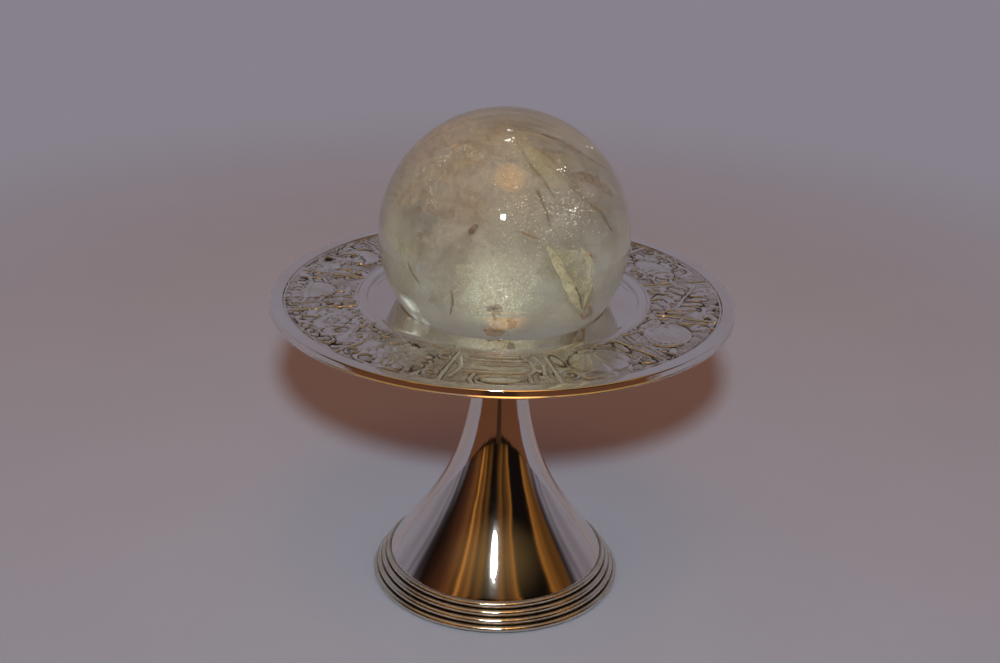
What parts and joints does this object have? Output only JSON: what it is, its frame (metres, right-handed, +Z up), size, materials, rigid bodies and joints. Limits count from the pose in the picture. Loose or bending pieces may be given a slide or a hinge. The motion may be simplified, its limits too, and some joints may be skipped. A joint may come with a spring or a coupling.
{
  "type": "crystal ball on a footed dish",
  "caption": "Polished quartz ball resting in the recess of a wide silver dish with a relief band, on a trumpet foot with a stepped reeded border.",
  "frame": {"origin": "centre of the foot's underside, on the surface that the object stands on", "axes": "+Z up along the axis that every piece is turned about; X and Y lie along the table, with -Y towards the viewer"},
  "size_m": [0.1866, 0.1866, 0.2031],
  "materials": {
    "quartz": "polished",
    "leather_ring": "matt",
    "silver": "mirror polished",
    "silver_relief": "cast relief, oxidised in the recesses",
    "steel": "zinc plated",
    "board": "matt",
    "felt": "matt"
  },
  "bodies": {
    "stand": {"dish": "silver", "recess_cup": "silver", "well_moulding": "silver", "frieze_band": "silver_relief", "rim_moulding": "silver", "dish_boss": "silver", "neck_collar": "silver", "trumpet_foot": "silver", "reeded_border": "silver", "tie_rod": "steel", "clamp_plate": "steel", "flat_washer": "steel", "spring_washer": "steel", "hex_nut": "steel", "backing_board": "board", "felt_pad": "felt"},
    "seat": {"seat_ring": "leather_ring"},
    "ball": {"crystal_ball": "quartz"}
  },
  "joints": [
    {"name": "seat_turn", "type": "hinge", "parent": "stand", "child": "seat", "pos_m": [0, 0, 0.117], "axis": [0, 0, 1], "continuous": true},
    {"name": "ball_lift", "type": "slide", "parent": "seat", "child": "ball", "axis": [0, 0, 1], "range_m": [0, 0.1]}
  ]
}
